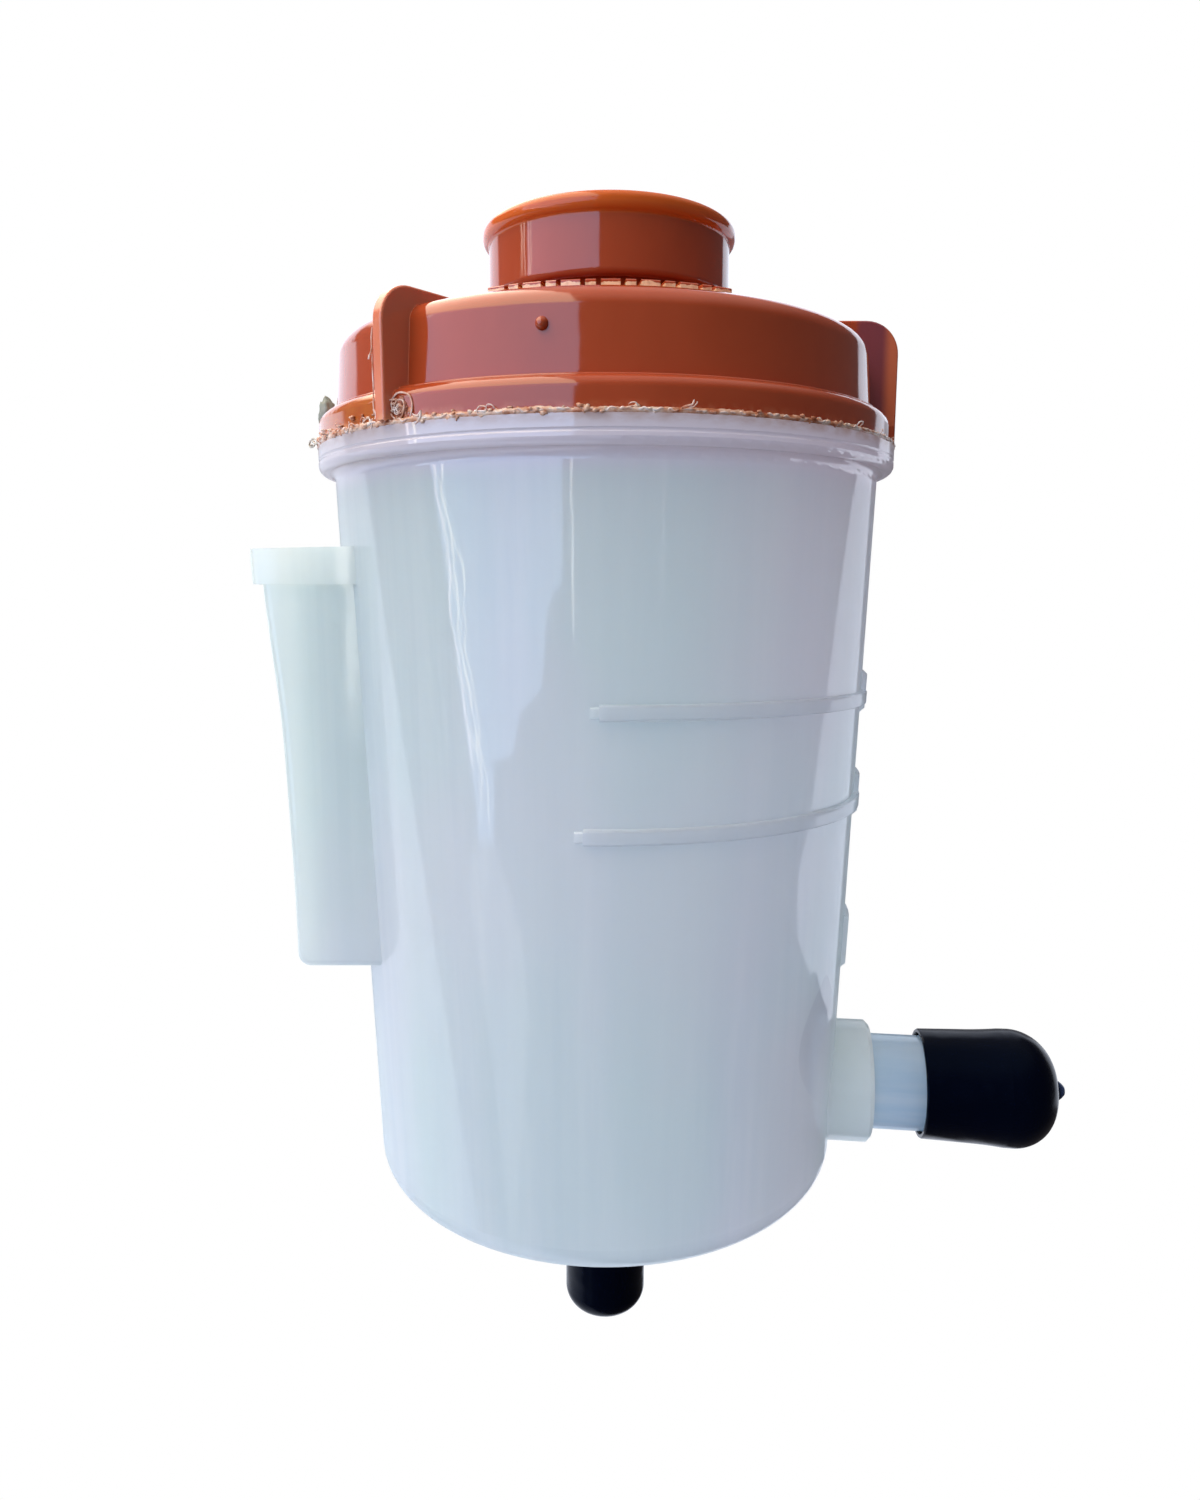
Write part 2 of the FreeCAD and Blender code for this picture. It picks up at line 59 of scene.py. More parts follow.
# ------------------------------------------------------------------ node helpers
class Mat:
    """A small wrapper that builds a Principled material and its node network."""

    def __init__(self, name):
        self.m = bpy.data.materials.new(name)
        self.m.use_nodes = True
        self.t = self.m.node_tree
        self.t.nodes.clear()
        self.out = self.t.nodes.new("ShaderNodeOutputMaterial")
        self.p = self.t.nodes.new("ShaderNodeBsdfPrincipled")
        self.t.links.new(self.p.outputs[0], self.out.inputs[0])
        self.coord = self.t.nodes.new("ShaderNodeTexCoord").outputs["Object"]

    def link(self, a, b):
        self.t.links.new(a, b)
        return self

    def set(self, **kw):
        for k, v in kw.items():
            self.p.inputs[k.replace("_", " ")].default_value = v
        return self

    def mapping(self, scale=(1, 1, 1), loc=(0, 0, 0), rot=(0, 0, 0), src=None):
        n = self.t.nodes.new("ShaderNodeMapping")
        n.inputs["Scale"].default_value = scale
        n.inputs["Location"].default_value = loc
        n.inputs["Rotation"].default_value = rot
        self.link(src or self.coord, n.inputs["Vector"])
        return n.outputs[0]

    def noise(self, scale, detail=3.0, rough=0.5, vec=None, dist=0.0, out="Fac"):
        n = self.t.nodes.new("ShaderNodeTexNoise")
        n.inputs["Scale"].default_value = scale
        n.inputs["Detail"].default_value = detail
        n.inputs["Roughness"].default_value = rough
        n.inputs["Distortion"].default_value = dist
        self.link(vec or self.coord, n.inputs["Vector"])
        return n.outputs[out]

    def voronoi(self, scale, vec=None, feature="F1", out="Distance"):
        n = self.t.nodes.new("ShaderNodeTexVoronoi")
        n.feature = feature
        n.inputs["Scale"].default_value = scale
        self.link(vec or self.coord, n.inputs["Vector"])
        return n.outputs[out]

    def ramp(self, fac, stops):
        n = self.t.nodes.new("ShaderNodeValToRGB")
        el = n.color_ramp.elements
        while len(el) > 2:
            el.remove(el[-1])
        for i, (pos, col) in enumerate(stops):
            e = el[i] if i < 2 else el.new(pos)
            e.position = pos
            e.color = (*col, 1.0) if len(col) == 3 else col
        self.link(fac, n.inputs[0])
        return n.outputs[0]

    def math(self, op, a, b=None, c=None, clamp=False):
        n = self.t.nodes.new("ShaderNodeMath")
        n.operation = op
        n.use_clamp = clamp
        for i, v in enumerate((a, b, c)):
            if v is None:
                continue
            if isinstance(v, (int, float)):
                n.inputs[i].default_value = v
            else:
                self.link(v, n.inputs[i])
        return n.outputs[0]

    def map_range(self, v, a, b, c=0.0, d=1.0, smooth=False):
        n = self.t.nodes.new("ShaderNodeMapRange")
        n.interpolation_type = "SMOOTHSTEP" if smooth else "LINEAR"
        self.link(v, n.inputs[0])
        for i, x in enumerate((a, b, c, d)):
            n.inputs[i + 1].default_value = x
        return n.outputs[0]

    def mix(self, fac, a, b, blend="MIX"):
        n = self.t.nodes.new("ShaderNodeMix")
        n.data_type = "RGBA"
        n.blend_type = blend
        if isinstance(fac, (int, float)):
            n.inputs[0].default_value = fac
        else:
            self.link(fac, n.inputs[0])
        for i, v in ((6, a), (7, b)):
            if isinstance(v, tuple):
                n.inputs[i].default_value = (*v, 1.0) if len(v) == 3 else v
            else:
                self.link(v, n.inputs[i])
        return n.outputs[2]

    def xyz(self):
        n = self.t.nodes.new("ShaderNodeSeparateXYZ")
        self.link(self.coord, n.inputs[0])
        return n.outputs

    def polar(self):
        """Angle from the front about the tank's axis in degrees, and the distance from that axis."""
        x, y, z = self.xyz()
        dx = self.math("SUBTRACT", x, AX)
        az = self.math("MULTIPLY", self.math("ARCTAN2", dx, self.math("MULTIPLY", y, -1.0)), 57.29578)
        r = self.math("SQRT", self.math("ADD", self.math("MULTIPLY", dx, dx), self.math("MULTIPLY", y, y)))
        return az, r

    def times(self, *socks):
        v = socks[0]
        for q in socks[1:]:
            v = self.math("MULTIPLY", v, q)
        return v

    def bump(self, heights):
        """heights: (socket, strength, distance) laid one on another."""
        last = None
        for h, s, d in heights:
            n = self.t.nodes.new("ShaderNodeBump")
            n.inputs["Strength"].default_value = s
            n.inputs["Distance"].default_value = d
            self.link(h, n.inputs["Height"])
            if last is not None:
                self.link(last, n.inputs["Normal"])
            last = n.outputs[0]
        self.link(last, self.p.inputs["Normal"])
        return self


def translucent(self, share, colour):
    """Lets that share of the light through the wall."""
    tr = self.t.nodes.new("ShaderNodeBsdfTranslucent")
    mx = self.t.nodes.new("ShaderNodeMixShader")
    if isinstance(share, (int, float)):
        mx.inputs[0].default_value = share
    else:
        self.link(share, mx.inputs[0])
    self.link(colour, tr.inputs["Color"])
    self.link(self.p.outputs[0], mx.inputs[1])
    self.link(tr.outputs[0], mx.inputs[2])
    self.link(mx.outputs[0], self.out.inputs[0])


Mat.translucent = translucent


def assign(obj, mat):
    obj.data.materials.clear()
    obj.data.materials.append(mat)


# ------------------------------------------------------------------ tank plastic
def tank_material():
    k = Mat("tank_milky_plastic")
    x, y, z = k.xyz()
    az, r = k.polar()
    # painted reflection: the faint vertical streaks in the base colour stand in for reflections in the wall's waviness
    streak = k.noise(1.0, 4.0, 0.6, k.mapping((150, 150, 9)))
    band = k.noise(1.0, 2.0, 0.5, k.mapping((46, 46, 5), loc=(0.3, 0.1, 0.0)))
    cloud = k.noise(22.0, 3.0, 0.5)
    fine = k.noise(420.0, 2.0, 0.5)
    base = k.mix(k.map_range(streak, 0.38, 0.62), (0.840, 0.890, 0.925), (0.920, 0.950, 0.970))
    hair = k.noise(1.0, 3.0, 0.65, k.mapping((520, 520, 6), loc=(0.1, 0.4, 0.0)))
    upper_left = k.times(k.map_range(az, -24.0, -34.0, 0.0, 1.0, True), k.map_range(z, 0.012, 0.042, 0.0, 1.0, True))
    base = k.mix(k.math("MULTIPLY", k.map_range(hair, 0.46, 0.60), k.map_range(upper_left, 0.0, 1.0, 0.18, 0.60)),
                 base, (0.800, 0.850, 0.890))
    base = k.mix(k.math("MULTIPLY", k.map_range(band, 0.40, 0.60), 0.65), base, (0.845, 0.935, 0.915))
    base = k.mix(k.math("MULTIPLY", k.map_range(cloud, 0.45, 0.65), 0.35), base, (0.930, 0.905, 0.945))
    # the thick sleeve and boss look a little creamier than the thin wall
    left = k.map_range(x, 0.004, -0.003, 0.0, 1.0, True)
    right = k.map_range(x, 0.0800, 0.0865, 0.0, 1.0, True)
    low = k.map_range(z, 0.0, -0.010, 0.0, 1.0, True)
    thick = k.math("ADD", left, k.math("MULTIPLY", right, low), clamp=True)
    base = k.mix(k.math("MULTIPLY", thick, 0.55), base, (0.895, 0.930, 0.895))
    # painted reflection: the mouth flange is tinted pink, standing in for the cover's colour cast on it; the upper
    # right is a warmer grey
    rim = k.map_range(z, 0.0735, 0.0775, 0.0, 1.0, True)
    base = k.mix(k.math("MULTIPLY", rim, 0.80), base, (0.985, 0.895, 0.955))
    # a smear of old melt just under the seam
    smear = k.times(k.map_range(z, 0.0796, 0.0812, 0.0, 1.0, True), k.map_range(r, 0.0450, 0.0458, 0.0, 1.0, True),
                    k.map_range(k.noise(1.0, 3.0, 0.6, k.mapping((260, 260, 520))), 0.36, 0.62, 0.25, 1.0),
                    k.map_range(az, -40.0, 45.0, 0.55, 0.85))
    base = k.mix(smear, base, (0.640, 0.440, 0.360))
    warm = k.times(k.map_range(x, 0.052, 0.072, 0.0, 1.0, True), k.map_range(z, 0.030, 0.050, 0.0, 1.0, True),
                   k.math("SUBTRACT", 1.0, rim))
    base = k.mix(k.math("MULTIPLY", warm, 0.35), base, (0.955, 0.895, 0.930))
    low_warm = k.times(k.map_range(x, 0.060, 0.074, 0.0, 1.0, True), k.map_range(z, 0.004, -0.012, 0.0, 1.0, True),
                       k.math("SUBTRACT", 1.0, right))
    base = k.mix(k.math("MULTIPLY", low_warm, 0.40), base, (0.950, 0.905, 0.925))
    # the bare stub is thinner, and reads bluer
    along = k.math("MULTIPLY_ADD", y, -0.12187, k.math("MULTIPLY", k.math("SUBTRACT", x, AX), 0.99255))
    stub = k.math("MULTIPLY", k.map_range(along, 0.04695, 0.04720, 0.0, 1.0, True), low)
    lines = k.noise(1.0, 3.0, 0.55, k.mapping((30, 30, 420)))
    base = k.mix(stub, base, k.mix(k.map_range(lines, 0.35, 0.65), (0.660, 0.795, 0.895), (0.770, 0.860, 0.930)))
    # painted shade: a darker leaf shape coloured onto the wall where the boss meets it
    zmm = k.math("MULTIPLY", z, 1000.0)
    dzz = k.math("ADD", zmm, 11.3)
    leaf_l = k.math("ADD", k.math("MULTIPLY", k.math("MULTIPLY", dzz, dzz), 0.090), 46.5)
    leaf_r = k.math("ADD", k.math("MULTIPLY", zmm, -1.25), 57.3)
    painted_leaf_shade = k.times(k.map_range(k.math("SUBTRACT", az, leaf_l), -0.25, 0.35, 0.0, 1.0, True),
                   k.map_range(k.math("SUBTRACT", leaf_r, az), -0.25, 0.35, 0.0, 1.0, True),
                   k.map_range(zmm, -0.3, -1.2, 0.0, 1.0, True),
                   k.map_range(zmm, -25.0, -11.0, 0.0, 1.0), k.map_range(r, 0.0452, 0.0448, 0.0, 1.0, True),
                   k.map_range(az, 76.0, 60.0, 0.0, 1.0, True))
    base = k.mix(k.math("MULTIPLY", painted_leaf_shade, 0.28), base, (0.620, 0.630, 0.680))
    # painted shade: the crown of the ribs right of the front is coloured darker
    wall_r = k.math("MULTIPLY_ADD", k.math("SUBTRACT", z, 0.075), 0.0349, 0.04442)
    rib_crown_shade = k.times(k.map_range(k.math("SUBTRACT", r, wall_r), 0.0, 0.00025, 0.0, 1.0, True),
                    k.map_range(z, 0.022, 0.024, 0.0, 1.0, True), k.map_range(z, 0.050, 0.048, 0.0, 1.0, True),
                    k.map_range(az, -12.0, -9.0, 0.0, 1.0, True))
    base = k.mix(k.math("MULTIPLY", rib_crown_shade, 0.60), base, (0.700, 0.740, 0.785))
    k.link(base, k.p.inputs["Base Color"])
    k.set(IOR=1.49, Specular_IOR_Level=1.0, Coat_Weight=1.0, Coat_Roughness=0.015, Coat_IOR=1.6)
    # the boss and the wall round it are duller than the rest
    boss = k.times(k.map_range(x, 0.0822, 0.0850, 0.0, 1.0, True), k.map_range(z, -0.0005, -0.0035, 0.0, 1.0, True),
                   k.map_range(z, -0.0260, -0.0225, 0.0, 1.0, True), k.math("SUBTRACT", 1.0, stub))
    k.link(k.map_range(boss, 0.0, 1.0, 1.0, 0.10, True), k.p.inputs["Coat Weight"])
    k.link(k.map_range(boss, 0.0, 1.0, 1.0, 0.45, True), k.p.inputs["Specular IOR Level"])
    rough = k.map_range(fine, 0.3, 0.7, 0.04, 0.07)
    k.link(rough, k.p.inputs["Roughness"])
    wave = k.noise(1.0, 2.0, 0.5, k.mapping((70, 70, 14)))
    ripple = k.noise(1.0, 2.0, 0.5, k.mapping((260, 260, 26)), dist=0.4)
    k.bump([(wave, 0.06, 0.0008), (ripple, 0.05, 0.00012), (fine, 0.02, 0.00002)])
    for n in k.t.nodes:
        if n.bl_idname == "ShaderNodeBump":
            last = n
    k.link(last.outputs[0], k.p.inputs["Coat Normal"])
    k.translucent(k.map_range(rim, 0.0, 1.0, 0.66, 0.52), base)
    return k.m


def cover_material(name, base_a, base_b, seed, cover):
    k = Mat(name)
    flow = k.noise(1.0, 4.0, 0.55, k.mapping((60, 60, 25), loc=(seed, 0, 0)), dist=0.8)
    base = k.mix(k.map_range(flow, 0.3, 0.7), base_a, base_b)
    x, y, z = k.xyz()
    az, r = k.polar()
    if cover:
        # the raised marks are coloured pale cream in ragged patches; the fin is coloured lighter, a painted glow of
        # light shining through it
        pale = k.times(k.map_range(z, 0.09935, 0.09965, 0.0, 1.0, True), k.map_range(r, 0.0291, 0.0295, 0.0, 1.0, True),
                       k.map_range(k.math("MULTIPLY_ADD", k.noise(520.0, 3.0, 0.6), 0.0010, z), 0.10062, 0.10050, 0.0, 1.0, True),
                       k.map_range(r, 0.0347, 0.0343, 0.0, 1.0, True),
                       k.map_range(k.math("ABSOLUTE", k.math("ADD", az, 39.3)), 2.0, 3.0, 0.0, 1.0, True))
        pale_mottle = k.map_range(k.noise(900.0, 3.0, 0.6), 0.30, 0.55, 0.55, 1.0)
        base = k.mix(k.math("MULTIPLY", pale, pale_mottle), base, (0.93, 0.62, 0.36))
        # painted glow: the fin's colour is lightened where light would shine through the thin plate
        side = k.times(r, k.math("SINE", k.math("MULTIPLY", k.math("ADD", az, 39.3), 0.0174533)))
        fin = k.times(k.map_range(k.math("ABSOLUTE", side), 0.00112, 0.00100, 0.0, 1.0, True),
                      k.map_range(r, 0.0302, 0.0306, 0.0, 1.0, True), k.map_range(az, 40.0, 30.0, 0.0, 1.0, True))
        base = k.mix(fin, base, (0.650, 0.190, 0.100))
        # painted glow: left of the fin the thin flange is coloured a lighter amber
        amber_glow = k.times(k.map_range(az, -41.5, -43.5, 0.0, 1.0, True), k.map_range(az, -84.0, -76.0, 0.0, 1.0, True),
                        k.map_range(z, 0.0864, 0.0856, 0.0, 1.0, True), k.map_range(r, 0.0436, 0.0440, 0.0, 1.0, True),
                        k.map_range(k.noise(330.0, 3.0, 0.6), 0.30, 0.60, 0.45, 1.0))
        base = k.mix(amber_glow, base, (0.430, 0.110, 0.020))
        # painted shade and glow: the right lug is coloured dark purple beside the dome and lighter orange at its thin
        # outer edge
        lug_shade_glow = k.times(k.map_range(z, 0.0862, 0.0866, 0.0, 1.0, True), k.map_range(r, 0.0405, 0.0418, 0.0, 1.0, True),
                      k.map_range(k.math("ABSOLUTE", y), 0.00112, 0.00104, 0.0, 1.0, True), k.map_range(az, 60.0, 70.0, 0.0, 1.0, True))
        base = k.mix(lug_shade_glow, base, k.mix(k.map_range(x, 0.0908, 0.0926, 0.0, 1.0, True), (0.215, 0.045, 0.052), (0.540, 0.130, 0.055)))
        # old melt has bleached the seam's edge
        low = k.map_range(z, 0.0832, 0.0816, 0.0, 1.0, True)
        base = k.mix(k.times(low, k.map_range(k.noise(420.0, 3.0, 0.6), 0.42, 0.60), k.map_range(x, 0.030, 0.010, 0.25, 1.0)),
                     base, (0.70, 0.33, 0.17))
    else:
        # painted highlight: the cap's top rim is coloured a brighter orange than the rest, and its specular level is
        # lowered
        rim = k.map_range(z, 0.1132, 0.1138, 0.0, 1.0, True)
        base = k.mix(rim, base, (0.560, 0.105, 0.013))
        k.link(k.map_range(rim, 0.0, 1.0, 0.62, 0.42, True), k.p.inputs["Specular IOR Level"])
    k.link(base, k.p.inputs["Base Color"])
    fine = k.noise(600.0, 2.0, 0.5)
    k.link(k.map_range(fine, 0.3, 0.7, 0.05, 0.09), k.p.inputs["Roughness"])
    k.set(IOR=1.50, Specular_IOR_Level=0.62, Subsurface_Weight=0.12, Subsurface_Scale=0.002)
    k.p.inputs["Subsurface Radius"].default_value = (1.0, 0.35, 0.15)
    wave = k.noise(1.0, 2.0, 0.5, k.mapping((90, 90, 60), loc=(seed * 2.0, 0, 0)))
    k.bump([(wave, 0.20, 0.0006), (fine, 0.04, 0.00003)])
    return k.m


def vinyl_material():
    k = Mat("black_vinyl")
    n = k.noise(90.0, 3.0, 0.5)
    base = k.mix(n, (0.0004, 0.0008, 0.0030), (0.0010, 0.0020, 0.0075))
    # the drip left at the tip is thinner and clearer; its lighter blue colour is partly painted light shining through
    # it
    x, y, z = k.xyz()
    base = k.mix(k.map_range(x, 0.1238, 0.1246, 0.0, 1.0, True), base, (0.030, 0.050, 0.115))
    k.link(base, k.p.inputs["Base Color"])
    k.link(k.map_range(k.noise(160.0, 2.0), 0.3, 0.7, 0.16, 0.26), k.p.inputs["Roughness"])
    k.set(IOR=1.28, Specular_IOR_Level=0.16)
    k.p.inputs["Specular Tint"].default_value = (0.40, 0.62, 1.0, 1.0)
    k.bump([(k.noise(1.0, 2.0, 0.5, k.mapping((130, 130, 130))), 0.5, 0.0007)])
    return k.m


def plain_material(name, a, b, rough, scale=200.0, bump=0.0001):
    k = Mat(name)
    n = k.noise(scale, 3.0, 0.5)
    k.link(k.mix(n, a, b), k.p.inputs["Base Color"])
    k.link(k.map_range(n, 0.3, 0.7, rough * 0.85, min(1.0, rough * 1.15)), k.p.inputs["Roughness"])
    k.bump([(n, 0.3, bump)])
    return k.m


def mesh_material():
    k = Mat("strainer_weave")
    w = k.t.nodes.new("ShaderNodeTexWave")
    w.inputs["Scale"].default_value = 420.0
    k.link(k.mapping((1, 1, 0.35)), w.inputs["Vector"])
    w2 = k.t.nodes.new("ShaderNodeTexWave")
    w2.bands_direction = "Z"
    w2.inputs["Scale"].default_value = 420.0
    k.link(k.coord, w2.inputs["Vector"])
    f = k.math("MAXIMUM", w.outputs["Fac"], w2.outputs["Fac"])
    k.link(k.mix(f, (0.14, 0.14, 0.14), (0.62, 0.63, 0.62)), k.p.inputs["Base Color"])
    k.set(Roughness=0.5)
    k.bump([(f, 0.6, 0.0001)])
    return k.m


orange = cover_material("cover_orange_plastic", (0.345, 0.051, 0.013), (0.390, 0.060, 0.017), 0.0, True)
orange_cap = cover_material("cap_orange_plastic", (0.330, 0.051, 0.013), (0.370, 0.060, 0.017), 3.7, False)
assign(nodes["tank_body"], tank_material())
assign(nodes["top_cover"], orange)
assign(nodes["filler_cap"], orange_cap)
vinyl = vinyl_material()
assign(nodes["outlet_dust_cap"], vinyl)
assign(nodes["return_dust_cap"], vinyl)
assign(nodes["cap_seal"], plain_material("seal_rubber", (0.012, 0.012, 0.013), (0.022, 0.022, 0.024), 0.6))
assign(nodes["strainer_seal"], plain_material("seat_rubber", (0.012, 0.012, 0.013), (0.022, 0.022, 0.024), 0.6))
assign(nodes["cap_vent_plate"], plain_material("vent_plate_plastic", (0.50, 0.50, 0.48), (0.58, 0.58, 0.55), 0.4))
assign(nodes["strainer_frame"], plain_material("cage_plastic", (0.06, 0.06, 0.065), (0.09, 0.09, 0.10), 0.45))
assign(nodes["strainer_mesh"], mesh_material())

# ------------------------------------------------------------------ weld flash
rng = random.Random(11)


def S(az, r, z):
    """A point at az degrees from the front about the tank's axis (+ towards the outlet), r and z in mm."""
    q = math.radians(az)
    return Vector((AX + r / 1000.0 * math.sin(q), -r / 1000.0 * math.cos(q), z / 1000.0))


def out_dir(az):
    q = math.radians(az)
    return Vector((math.sin(q), -math.cos(q), 0.0))


def cover_r(az):
    """Radius of the cover's flange about the tank's axis, in mm."""
    return 45.9 - 0.38 * math.sin(math.radians(az))


def left_weight(az):
    """How rough the weld is: roughest at the left front, where the fin stands."""
    a = (az + 180.0) % 360.0 - 180.0
    return 0.25 + 1.0 * math.exp(-((a + 52.0) / 24.0) ** 2) + 0.35 * math.exp(-((a - 40.0) / 14.0) ** 2) \
        + 0.30 * math.exp(-((a + 6.0) / 16.0) ** 2) + 0.5 * math.exp(-((abs(a) - 150.0) / 30.0) ** 2)


def finish_piece(name, bm, mat, body="tank", smooth=True):
    me = bpy.data.meshes.new(name)
    bmesh.ops.recalc_face_normals(bm, faces=bm.faces)
    bm.to_mesh(me)
    bm.free()
    if smooth:
        for f in me.polygons:
            f.use_smooth = True
    ob = bpy.data.objects.new(name, me)
    bpy.context.scene.collection.objects.link(ob)
    me.materials.append(mat)
    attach(ob, body)
    return ob


def add_tube(bm, pts, radius, sides=6, taper=True):
    """A closed tube along points, thinner at both ends."""
    n = len(pts)
    rings = []
    up = Vector((0.13, 0.21, 0.97))
    for i, c in enumerate(pts):
        d = (pts[min(i + 1, n - 1)] - pts[max(i - 1, 0)]).normalized()
        u = d.cross(up)
        if u.length < 1e-4:
            u = d.cross(Vector((1, 0, 0)))
        u.normalize()
        v = d.cross(u)
        k = i / (n - 1.0)
        r = radius * (1.0 if not taper else max(0.25, min(1.0, 4.0 * min(k, 1.0 - k) + 0.25)))
        rings.append([bm.verts.new(c + u * (r * math.cos(2 * math.pi * j / sides)) + v * (r * math.sin(2 * math.pi * j / sides)))
                      for j in range(sides)])
    for a, b in zip(rings, rings[1:]):
        for j in range(sides):
            bm.faces.new((a[j], a[(j + 1) % sides], b[(j + 1) % sides], b[j]))
    bm.faces.new(list(reversed(rings[0])))
    bm.faces.new(rings[-1])


def add_blob(bm, c, rx, ry, rz, frame_az, seed, rough=0.35, sub=2):
    """A lumpy crumb: rx across, ry outwards, rz upwards, in metres."""
    made = bmesh.ops.create_icosphere(bm, subdivisions=sub, radius=1.0)["verts"]
    e_out = out_dir(frame_az)
    e_side = Vector((-e_out.y, e_out.x, 0.0))
    o = Vector((seed * 3.1, seed * 1.7, seed * 0.9))
    for v in made:
        q = v.co.copy()
        q *= 1.0 + rough * noise.noise(q * 1.6 + o) + rough * 0.5 * noise.noise(q * 4.0 + o)
        v.co = c + e_side * (q.x * rx) + e_out * (q.y * ry) + Vector((0, 0, q.z * rz))


def smooth_path(ctrl, n):
    """Points along a Catmull-Rom curve."""
    c = [ctrl[0]] + list(ctrl) + [ctrl[-1]]
    out = []
    for i in range(1, len(c) - 2):
        p0, p1, p2, p3 = c[i - 1], c[i], c[i + 1], c[i + 2]
        for j in range(n):
            k = j / n
            out.append(0.5 * ((2 * p1) + (p2 - p0) * k + (2 * p0 - 5 * p1 + 4 * p2 - p3) * k * k
                              + (3 * p1 - p0 - 3 * p2 + p3) * k ** 3))
    out.append(ctrl[-1].copy())
    return out


def flash_material(name, stops, rough=0.18, clear=0.0, scale=520.0):
    k = Mat(name)
    n = k.noise(scale, 3.0, 0.6)
    col = k.ramp(n, stops)
    k.link(col, k.p.inputs["Base Color"])
    k.link(k.map_range(k.noise(scale * 2.0, 2.0), 0.3, 0.7, rough * 0.6, rough * 1.5), k.p.inputs["Roughness"])
    k.set(IOR=1.50)
    k.bump([(k.noise(scale * 1.6, 2.0, 0.6), 0.5, 0.0001)])
    if clear:
        k.translucent(clear, col)
    return k.m


flash_mat = flash_material("weld_flash_orange", [(0.30, (0.50, 0.15, 0.060)), (0.42, (0.66, 0.30, 0.17)),
                                                 (0.53, (0.80, 0.51, 0.36)), (0.65, (0.90, 0.72, 0.58))], clear=0.25)
burr_mat = flash_material("weld_flash_pale", [(0.26, (0.58, 0.20, 0.10)), (0.40, (0.78, 0.45, 0.31)),
                                              (0.50, (0.89, 0.68, 0.57)), (0.64, (0.94, 0.86, 0.82))], clear=0.30)

# the squeezed-out bead that runs all round the seam
bm = bmesh.new()
SEAM = 81.48
N, K = 900, 9
rings = []
for i in range(N):
    az = 360.0 * i / N
    q = math.radians(az)
    cyc = Vector((math.cos(q), math.sin(q), 0.0))
    wgt = left_weight(az)
    low = noise.noise(cyc * 7.0 + Vector((3, 1, 0)))
    mid = noise.noise(cyc * 34.0 + Vector((0, 5, 2)))
    hi = noise.noise(cyc * 120.0 + Vector((7, 0, 4)))
    rr = 46.28 + 0.10 * mid * wgt
    zz = SEAM + 0.12 * low + 0.16 * mid * wgt + 0.10
    ra = 0.22 + 0.16 * wgt * (0.5 + mid) + 0.10 * abs(hi)
    rb = 0.34 + 0.20 * wgt * (0.5 + low) + 0.16 * hi * wgt
    ring = []
    for j in range(K):
        f = 2 * math.pi * j / K
        jag = 1.0 + 0.45 * noise.noise(cyc * 150.0 + Vector((math.cos(f), math.sin(f), 1.0)) * 2.0)
        ring.append(bm.verts.new(S(az, rr + ra * jag * math.cos(f), zz + max(0.12, rb) * jag * math.sin(f))))
    rings.append(ring)
for i in range(N):
    a, b = rings[i], rings[(i + 1) % N]
    for j in range(K):
        bm.faces.new((a[j], b[j], b[(j + 1) % K], a[(j + 1) % K]))
finish_piece("weld_flash_bead", bm, flash_mat)

# crumbs and burrs on the seam, and the melted patch by the fin
bm = bmesh.new()
n = 0
while n < 330:
    az = rng.uniform(-180.0, 180.0)
    if rng.random() > left_weight(az):
        continue
    wgt = left_weight(az)
    up = rng.random() ** 2.6 * (1.7 if -78.0 < az < -30.0 else 0.6)
    size = rng.uniform(0.10, 0.24) * (1.0 + 0.5 * wgt)
    r0 = 46.36 if up < 0.3 else cover_r(az) + 0.08
    add_blob(bm, S(az, r0 + rng.uniform(-0.05, 0.14), SEAM + 0.05 + up + rng.uniform(-0.35, 0.15)),
             size * 1e-3 * rng.uniform(0.8, 1.9), size * 1e-3 * rng.uniform(0.5, 1.0),
             size * 1e-3 * rng.uniform(0.6, 1.3) * (0.6 if up > 0.5 else 1.0), az, rng.uniform(0, 50), 0.9, 2)
    n += 1
for az, z, size in ((-4.3, 82.1, 0.34), (-3.2, 81.7, 0.42), (-1.9, 81.5, 0.36), (-0.9, 81.35, 0.30), (6.4, 81.7, 0.22),
                    (24.5, 82.0, 0.26), (33.0, 82.0, 0.34), (35.6, 81.9, 0.30), (39.0, 81.7, 0.36), (41.2, 81.6, 0.40),
                    (42.6, 81.9, 0.30), (-28.6, 81.9, 0.30), (-31.0, 81.2, 0.32), (-45.0, 81.6, 0.5), (-49.5, 81.4, 0.45),
                    (-56.0, 81.6, 0.5), (-62.0, 81.7, 0.4), (-66.5, 81.9, 0.5), (-70.0, 82.1, 0.45), (-12.0, 81.8, 0.28),
                    (-18.5, 81.9, 0.25), (-22.0, 81.8, 0.3), (-25.0, 81.7, 0.3)):
    add_blob(bm, S(az, 46.5, z), size * 1.3e-3, size * 0.8e-3, size * 0.8e-3, az, az, 0.6, 2)
# lumpy melt under the swirl, right of the fin's foot
melt_bm = bmesh.new()
for i in range(26):
    az = rng.uniform(-38.6, -33.8)
    add_blob(melt_bm, S(az, cover_r(az) + 0.02, rng.uniform(81.2, 84.4)), rng.uniform(0.25, 0.55) * 1e-3, 0.14e-3,
             rng.uniform(0.25, 0.5) * 1e-3, az, i * 2.3, 0.6, 2)
finish_piece("weld_flash_melt", melt_bm, flash_material("weld_flash_brown", [(0.30, (0.30, 0.070, 0.030)), (0.48, (0.42, 0.13, 0.065)),
                                                                             (0.66, (0.62, 0.27, 0.17))], clear=0.15))
finish_piece("weld_flash_crumbs", bm, flash_mat)

# threads and curls of the same melt
bm = bmesh.new()


